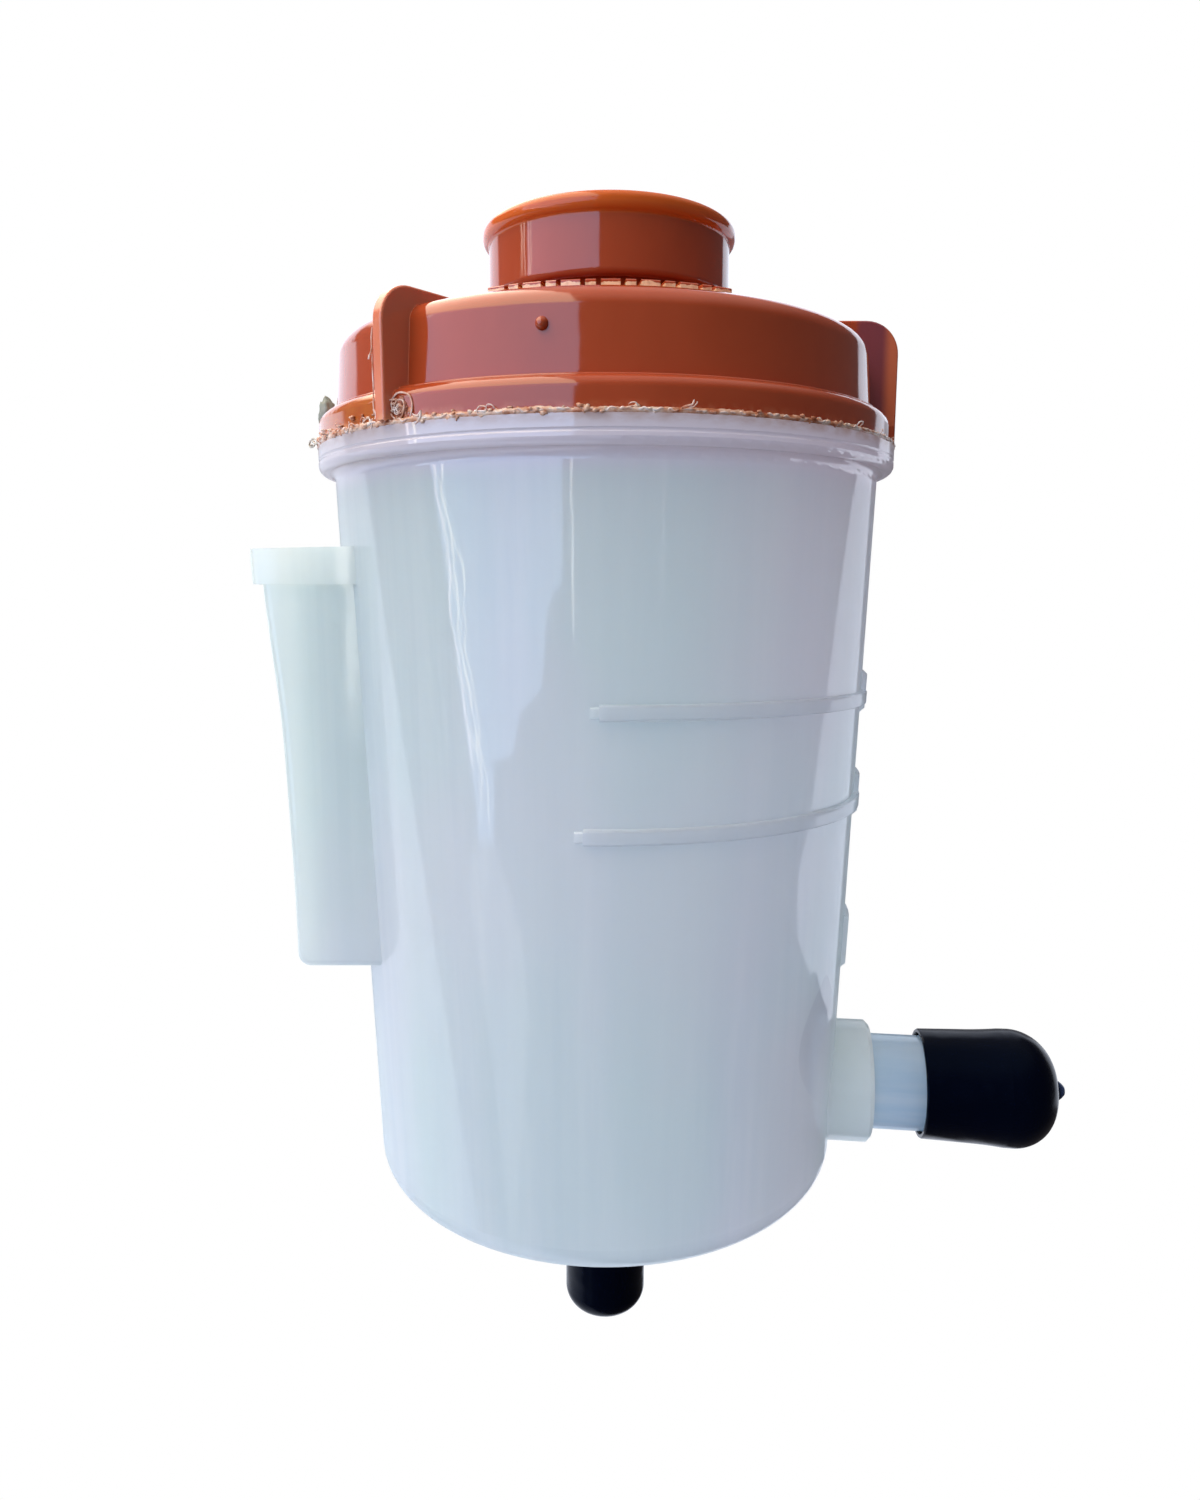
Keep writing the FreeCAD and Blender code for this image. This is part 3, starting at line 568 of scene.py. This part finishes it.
def curl(az, z, r0, turns, size, lean, seed, radius=0.075, lift=0.5):
    """A small loop of thread standing off the surface at az, z."""
    q = random.Random(seed)
    pts = []
    m = max(5, int(turns * 7))
    for i in range(m + 1):
        k = i / m
        f = 2 * math.pi * turns * k + q.uniform(-0.2, 0.2)
        rad = size * (0.55 + 0.45 * k)
        pts.append(S(az + math.degrees(rad * math.cos(f) / 46.3) + lean * k, r0 + lift * math.sin(math.pi * k) + 0.05,
                     z + rad * math.sin(f)))
    add_tube(bm, smooth_path(pts, 4), radius * 1e-3)


# the swirl beside the fin: an outer loop with tangled turns inside
swirl = [(-34.4, 81.0), (-33.6, 82.2), (-33.4, 83.4), (-33.9, 84.6), (-35.2, 85.1), (-36.8, 85.1), (-38.0, 84.5),
         (-38.5, 83.4), (-38.0, 82.4), (-36.8, 81.8), (-35.6, 82.3), (-35.0, 83.3), (-35.6, 84.2), (-36.8, 84.2),
         (-37.4, 83.2), (-36.6, 82.6), (-35.9, 83.2)]
add_tube(bm, smooth_path([S(a, 46.28 + 0.12 * math.sin(i * 1.9), z) for i, (a, z) in enumerate(swirl)], 6), 0.13e-3)
for i in range(7):
    curl(rng.uniform(-38.2, -34.6), rng.uniform(82.0, 84.2), 46.2, rng.uniform(0.8, 1.5), rng.uniform(0.35, 0.7), 0.0, 40 + i,
         0.08, 0.25)
# the bright V below it
add_tube(bm, smooth_path([S(-33.2, 46.45, 82.3), S(-32.0, 46.6, 81.9), S(-31.0, 46.75, 82.4), S(-31.6, 46.6, 81.4),
                          S(-32.6, 46.5, 80.9)], 5), 0.13e-3)
# curl that stands out at the far left, where the outline shows it
curl_bm = bmesh.new()
add_tube(curl_bm, smooth_path([S(-74, 46.4, 82.3), S(-76, 47.0, 82.9), S(-78, 47.6, 82.9), S(-79, 47.9, 82.3), S(-78, 47.6, 81.8),
                               S(-76.4, 47.1, 81.9), S(-75.4, 46.8, 82.3)], 6), 0.15e-3)
add_tube(curl_bm, smooth_path([S(-71, 46.4, 82.0), S(-73, 46.8, 81.8), S(-75.2, 47.2, 82.3), S(-77.2, 47.3, 82.9)], 5), 0.12e-3)
for i, (a, rad, z) in enumerate(((-76.5, 47.2, 82.5), (-77.8, 47.5, 82.1), (-75.0, 46.8, 82.1))):
    add_blob(curl_bm, S(a, rad, z), 0.20e-3, 0.22e-3, 0.20e-3, a, 5.0 + i, 0.6, 1)
finish_piece("weld_flash_curl", curl_bm, flash_material("weld_flash_cream", [(0.30, (0.30, 0.26, 0.20)), (0.45, (0.52, 0.47, 0.38)),
                                                                             (0.62, (0.80, 0.76, 0.68))], clear=0.3))
# hook with a dark speck under it, right of the middle
add_tube(bm, smooth_path([S(11.2, 46.45, 81.9), S(12.0, 46.7, 82.1), S(12.9, 46.8, 82.3), S(13.2, 46.8, 82.9)], 5), 0.12e-3)
add_tube(bm, smooth_path([S(12.4, 46.6, 82.0), S(13.0, 46.8, 82.0), S(13.6, 46.85, 82.4), S(13.7, 46.8, 82.7)], 5), 0.09e-3)
# threads at the fin's foot and up its outer edge
FIN = -39.3
tang = Vector((-math.cos(math.radians(FIN)), -math.sin(math.radians(FIN)), 0.0))      # towards the fin's left face


def on_fin(z, side, stand, r=47.6):
    return S(FIN, r + stand, z) + tang * (side / 1000.0)


add_tube(bm, smooth_path([on_fin(93.6, 0.90, 0.02), on_fin(92.4, 1.02, 0.05), on_fin(91.0, 0.98, 0.1), on_fin(90.2, 1.20, 0.25),
                          on_fin(89.7, 1.55, 0.2), on_fin(90.3, 1.70, 0.05)], 6), 0.11e-3)
add_tube(bm, smooth_path([on_fin(91.0, 0.98, 0.05), on_fin(89.0, 0.96, 0.08), on_fin(87.4, 1.00, 0.03), on_fin(86.0, 0.92, 0.06),
                          on_fin(84.2, 1.05, 0.05), on_fin(82.6, 0.95, 0.10)], 6), 0.09e-3)
for k, (a0, z0) in enumerate(((-42.3, 85.6), (-42.0, 84.4), (-42.6, 83.2), (-41.6, 82.4), (-43.8, 82.0))):
    add_tube(bm, smooth_path([S(a0, 46.35, z0), S(a0 + 0.5, 46.7, z0 + 0.3), S(a0 + 0.9, 46.6, z0 - 0.4),
                              S(a0 + 0.5, 46.5, z0 - 0.9)], 5), 0.12e-3)
for i in range(34):
    az = rng.uniform(-178.0, 178.0)
    if rng.random() > left_weight(az) + 0.1:
        continue
    curl(az, SEAM + rng.uniform(-0.1, 0.7), 46.35, rng.uniform(0.25, 0.9), rng.uniform(0.3, 0.9), rng.uniform(-1.0, 1.0),
         100 + i, rng.uniform(0.05, 0.10), rng.uniform(0.15, 0.55))
for i in range(46):
    az = rng.uniform(-79.0, -41.0)
    curl(az, SEAM + rng.uniform(-0.1, 1.5) * rng.random(), 46.32, rng.uniform(0.2, 0.7), rng.uniform(0.25, 0.7), rng.uniform(-1.5, 1.5),
         200 + i, rng.uniform(0.05, 0.09), rng.uniform(0.1, 0.4))
finish_piece("weld_flash_threads", bm, burr_mat)

# a pale broken edge of melt along the seam
bm = bmesh.new()
az = -178.0
while az < 178.0:
    length = rng.uniform(0.8, 3.8) * (0.7 + 0.5 * left_weight(az))
    pts = []
    for i in range(5):
        a = az + length * i / 4.0
        pts.append(S(a, 46.44 + rng.uniform(-0.03, 0.12), SEAM + 0.18 + rng.uniform(-0.22, 0.22) * (0.5 + left_weight(a))))
    add_tube(bm, smooth_path(pts, 3), rng.uniform(0.10, 0.19) * 1e-3)
    az += length + rng.uniform(0.0, 1.3)
finish_piece("weld_flash_edge", bm, burr_mat)

# the blurred grey-green lump that shows past the flange at the far left
bm = bmesh.new()
add_blob(bm, S(-92.0, 46.9, 88.7), 1.3e-3, 1.3e-3, 2.5e-3, -92.0, 2.0, 0.35, 3)
add_blob(bm, S(-91.0, 46.4, 85.2), 1.5e-3, 1.0e-3, 2.4e-3, -91.0, 7.0, 0.35, 3)
finish_piece("weld_flash_lump", bm, flash_material("weld_flash_grey", [(0.30, (0.26, 0.28, 0.24)), (0.50, (0.40, 0.43, 0.37)),
                                                                       (0.70, (0.58, 0.60, 0.54))], rough=0.5, clear=0.5, scale=260.0))

# ------------------------------------------------------------------ stage
def stage_floor():
    """A plain white floor far below the part, which hangs on its bracket. It is white to the
    camera, and lets the studio's soft light through from below."""
    me = bpy.data.meshes.new("floor")
    s, zf = 6.0, -0.165
    me.from_pydata([(-s, -s, zf), (s, -s, zf), (s, s, zf), (-s, s, zf)], [], [(0, 1, 2, 3)])
    ob = bpy.data.objects.new("floor", me)
    bpy.context.scene.collection.objects.link(ob)
    m = bpy.data.materials.new("floor_white")
    m.use_nodes = True
    t = m.node_tree
    t.nodes.clear()
    o = t.nodes.new("ShaderNodeOutputMaterial")
    mx = t.nodes.new("ShaderNodeMixShader")
    lp = t.nodes.new("ShaderNodeLightPath")
    tr = t.nodes.new("ShaderNodeBsdfTransparent")
    em = t.nodes.new("ShaderNodeEmission")
    em.inputs[0].default_value = (1.0, 1.0, 1.0, 1.0)
    em.inputs[1].default_value = 1.0
    t.links.new(lp.outputs["Is Camera Ray"], mx.inputs[0])
    t.links.new(tr.outputs[0], mx.inputs[1])
    t.links.new(em.outputs[0], mx.inputs[2])
    t.links.new(mx.outputs[0], o.inputs[0])
    assign(ob, m)
    return ob


stage_floor()

# one soft box above, for the tops
box = bpy.data.lights.new("top_box", "AREA")
box.shape = "RECTANGLE"
box.size, box.size_y = 0.8, 0.8
box.energy = 2.8
box.color = (1.0, 0.97, 0.93)
box_ob = bpy.data.objects.new("top_box", box)
bpy.context.scene.collection.objects.link(box_ob)
box_ob.location = (AX - 0.25, 0.1, 1.0)
box_ob.rotation_euler = (Vector((AX, 0.0, 0.0)) - box_ob.location).to_track_quat("-Z", "Y").to_euler()
box_ob.visible_camera = False
box_ob.visible_glossy = False

# and a weak fill from the low right, which reaches the tank alone
fill = bpy.data.lights.new("low_fill", "AREA")
fill.shape = "RECTANGLE"
fill.size, fill.size_y = 0.6, 0.6
fill.energy = 3.7
fill.color = (0.90, 0.92, 1.10)
fill_ob = bpy.data.objects.new("low_fill", fill)
bpy.context.scene.collection.objects.link(fill_ob)
aim = Vector((AX, 0.0, -0.005))
q = math.radians(58.0)
fill_ob.location = aim + Vector((math.sin(q), -math.cos(q), -0.42)).normalized() * 0.9
fill_ob.rotation_euler = (aim - fill_ob.location).to_track_quat("-Z", "Y").to_euler()
fill_ob.visible_camera = False
fill_ob.visible_glossy = False
lit_only = bpy.data.collections.new("low_fill_receivers")
lit_only.objects.link(nodes["tank_body"])
fill_ob.light_linking.receiver_collection = lit_only

# the studio: white all round for the camera, and for the light one tall soft window at the
# left, bright paper behind the part and a dim room at the right
w = bpy.data.worlds.new("studio")
bpy.context.scene.world = w
w.use_nodes = True
t = w.node_tree
t.nodes.clear()


def wn(op, a, b=None, c=None, clamp=False):
    n = t.nodes.new("ShaderNodeMath")
    n.operation = op
    n.use_clamp = clamp
    for i, v in enumerate((a, b, c)):
        if v is None:
            continue
        if isinstance(v, (int, float)):
            n.inputs[i].default_value = v
        else:
            t.links.new(v, n.inputs[i])
    return n.outputs[0]


def edge(v, soft):
    """0 where v is well below zero, 1 where it is above, over plus and minus soft."""
    n = t.nodes.new("ShaderNodeMapRange")
    n.interpolation_type = "SMOOTHSTEP"
    t.links.new(v, n.inputs[0])
    for i, q in enumerate((-soft, soft, 0.0, 1.0)):
        n.inputs[i + 1].default_value = q
    return n.outputs[0]


def linear(v, a, b, c, d):
    n = t.nodes.new("ShaderNodeMapRange")
    n.clamp = True
    t.links.new(v, n.inputs[0])
    for i, q in enumerate((a, b, c, d)):
        n.inputs[i + 1].default_value = q
    return n.outputs[0]


def both(*masks):
    m = masks[0]
    for k in masks[1:]:
        m = wn("MULTIPLY", m, k)
    return m


coord = t.nodes.new("ShaderNodeTexCoord")
sep = t.nodes.new("ShaderNodeSeparateXYZ")
t.links.new(coord.outputs["Generated"], sep.inputs[0])
dx, dy, dz = sep.outputs
DEG = 57.29578
az = wn("MULTIPLY", wn("ARCTAN2", dx, wn("MULTIPLY", dy, -1.0)), DEG)      # 0 towards the camera, + to the right
el = wn("MULTIPLY", wn("ARCSINE", dz), DEG)
aaz = wn("ABSOLUTE", az)



def broken_line(v, pts):
    """Straight runs through the points (v, value), level outside them."""
    total = None
    for (v0, y0), (v1, y1) in zip(pts, pts[1:]):
        if abs(y1 - y0) < 1e-9:
            continue
        step = linear(v, v0, v1, 0.0, y1 - y0)
        total = step if total is None else wn("ADD", total, step)
    return wn("ADD", total, pts[0][1])


az_right = broken_line(el, [(-17.5, -50.0), (-13.1, -48.8), (-12.6, -39.5), (-10.4, -36.0), (-9.9, -26.5), (-5.0, -23.5),
                            (-4.3, -21.0), (-3.6, -17.4), (2.8, -17.2), (6.0, -14.2), (8.5, -11.8), (12.0, -10.4), (34.0, -9.0)])
az_left = broken_line(el, [(-17.5, -57.5), (-14.7, -58.3), (-10.6, -62.2), (-3.8, -66.9), (3.3, -73.2), (9.4, -81.0),
                           (16.0, -83.0), (34.0, -78.0)])
window = both(edge(wn("SUBTRACT", az_right, az), 0.5), edge(wn("SUBTRACT", az, az_left), 0.8),
              edge(wn("ADD", el, 17.3), 0.5), edge(wn("SUBTRACT", 34.0, el), 3.0))
high = both(edge(wn("SUBTRACT", -0.16, dx), 0.015), edge(wn("SUBTRACT", el, 31.0), 4.0))
ground_l = broken_line(el, [(-36.0, -50.0), (-27.0, -56.4), (-20.5, -63.0), (-18.0, -61.5)])
ground_r = broken_line(el, [(-36.0, -44.0), (-30.5, -38.7), (-26.9, -34.9), (-22.6, -38.2), (-19.0, -44.7), (-17.3, -50.0)])
ground = both(edge(wn("SUBTRACT", ground_r, az), 1.0), edge(wn("SUBTRACT", az, ground_l), 1.0),
              edge(wn("SUBTRACT", -17.3, el), 0.5), edge(wn("ADD", el, 36.0), 3.0))
paper_left = edge(wn("SUBTRACT", wn("MULTIPLY", az, -1.0), wn("MULTIPLY_ADD", el, 1.15, 110.0)), 2.0)
paper_right = edge(wn("SUBTRACT", az, broken_line(el, [(-30.0, 150.0), (-25.0, 132.0), (-21.0, 98.0), (-17.7, 96.5), (-13.5, 103.5),
                                                       (-3.7, 113.0), (3.0, 120.5), (8.0, 131.0), (13.0, 134.0), (34.0, 150.0)])), 1.2)
behind = both(wn("MAXIMUM", edge(wn("SUBTRACT", az, 145.0), 2.0), wn("MULTIPLY", edge(wn("SUBTRACT", -157.0, az), 2.0), 0.5)),
              edge(wn("ADD", el, 24.0), 4.0), edge(wn("SUBTRACT", 9.0, el), 2.5))
paper = both(wn("MAXIMUM", paper_left, paper_right), edge(wn("SUBTRACT", 40.0, el), 8.0),
             wn("SUBTRACT", 1.0, wn("MULTIPLY", behind, 0.85)), linear(el, -34.0, -12.0, 0.86, 1.0))
# daylight slips past the window's frame in thin uneven lines
wob = t.nodes.new("ShaderNodeTexNoise")
wob.noise_dimensions = "1D"
wob.inputs["Scale"].default_value = 0.35
wob.inputs["Detail"].default_value = 2.0
t.links.new(el, wob.inputs["W"])
wobble = linear(wob.outputs["Fac"], 0.25, 0.75, -1.0, 1.0)


def strand(offset, sway, phase, half, soft, el0, el1, rate=0.16):
    """A thin wavering line of light near the window's left edge."""
    q = t.nodes.new("ShaderNodeTexNoise")
    q.noise_dimensions = "1D"
    q.inputs["Scale"].default_value = rate
    q.inputs["Detail"].default_value = 1.5
    t.links.new(wn("ADD", el, phase), q.inputs["W"])
    line = wn("ADD", wn("ADD", az_left, offset), linear(q.outputs["Fac"], 0.2, 0.8, -sway, sway))
    q2 = t.nodes.new("ShaderNodeTexNoise")
    q2.noise_dimensions = "1D"
    q2.inputs["Scale"].default_value = 0.45
    t.links.new(wn("ADD", el, phase * 2.0 + 7.0), q2.inputs["W"])
    width = linear(q2.outputs["Fac"], 0.3, 0.7, half * 0.35, half * 1.3)
    return both(edge(wn("SUBTRACT", width, wn("ABSOLUTE", wn("SUBTRACT", az, line))), soft),
                edge(wn("SUBTRACT", el, el0), 1.5), edge(wn("SUBTRACT", el1, el), 1.5))


strands = [strand(1.2, 2.4, 3.0, 0.45, 0.22, -13.0, 30.0, 0.22), strand(4.0, 2.8, 31.0, 0.40, 0.20, -14.5, 26.0, 0.22),
           strand(6.2, 2.0, 57.0, 0.32, 0.18, -16.5, 2.0, 0.25), strand(2.6, 3.2, 83.0, 0.30, 0.18, -15.0, 8.0, 0.35),
           strand(-9.0, 1.6, 19.0, 0.30, 0.22, -12.0, 14.0, 0.30), strand(-15.0, 1.8, 43.0, 0.28, 0.22, -10.0, 16.0, 0.30),
           strand(-3.4, 1.6, 71.0, 0.60, 0.25, 15.0, 33.0, 0.35), strand(-8.0, 2.6, 97.0, 0.70, 0.30, 14.0, 33.0, 0.45)]
frame_line = both(edge(wn("SUBTRACT", 0.42, wn("ABSOLUTE", wn("ADD", wn("ADD", az, 13.4), wn("MULTIPLY", wobble, 0.5)))), 0.2),
                  edge(wn("ADD", el, 6.5), 3.0), edge(wn("SUBTRACT", 3.6, el), 1.0))
far_line = both(edge(wn("SUBTRACT", 0.45, wn("ABSOLUTE", wn("SUBTRACT", az, 22.3))), 0.25),
                edge(wn("ADD", el, 8.0), 3.0), edge(wn("SUBTRACT", 3.6, el), 1.0))

ambient = t.nodes.new("ShaderNodeMix")
ambient.data_type = "RGBA"
t.links.new(linear(az, -60.0, 40.0, 0.0, 1.0), ambient.inputs[0])
ambient.inputs[6].default_value = (0.17, 0.18, 0.20, 1.0)
ambient.inputs[7].default_value = (0.115, 0.105, 0.110, 1.0)
colour = ambient.outputs[2]


def add_light(colour, mask, rgb, gain=1.0):
    n = t.nodes.new("ShaderNodeMix")
    n.data_type = "RGBA"
    n.blend_type = "MIX"
    t.links.new(wn("MULTIPLY", mask, gain), n.inputs[0])
    t.links.new(colour, n.inputs[6])
    n.inputs[7].default_value = (*rgb, 1.0)
    return n.outputs[2]


colour = add_light(colour, edge(wn("SUBTRACT", el, 50.0), 20.0), (0.75, 0.72, 0.68))
colour = add_light(colour, paper, (1.36, 1.45, 1.66))
colour = add_light(colour, ground, (1.25, 1.25, 1.30), 0.8)
colour = add_light(colour, window, (1.40, 1.90, 2.80))
colour = add_light(colour, high, (4.3, 3.7, 3.0))
for m, rgb in zip(strands, ((6.6, 5.9, 6.3), (7.2, 6.9, 6.3), (6.6, 6.5, 5.8), (5.6, 5.4, 5.2), (2.0, 2.0, 2.1), (1.7, 1.8, 1.8),
                            (6.5, 6.0, 5.6), (4.5, 4.1, 3.6))):
    colour = add_light(colour, m, rgb)
colour = add_light(colour, frame_line, (4.6, 4.4, 4.1))
colour = add_light(colour, far_line, (1.3, 1.2, 1.3))

out = t.nodes.new("ShaderNodeOutputWorld")
mixs = t.nodes.new("ShaderNodeMixShader")
path = t.nodes.new("ShaderNodeLightPath")
seen = t.nodes.new("ShaderNodeBackground")
seen.inputs[0].default_value = (1.0, 1.0, 1.0, 1.0)
lit = t.nodes.new("ShaderNodeBackground")
t.links.new(colour, lit.inputs[0])
t.links.new(path.outputs["Is Camera Ray"], mixs.inputs[0])
t.links.new(lit.outputs[0], mixs.inputs[1])
t.links.new(seen.outputs[0], mixs.inputs[2])
t.links.new(mixs.outputs[0], out.inputs[0])

sc = bpy.context.scene
sc.view_settings.view_transform = "Standard"
sc.view_settings.look = "None"
sc.view_settings.exposure = 0.0
sc.view_settings.gamma = 1.0
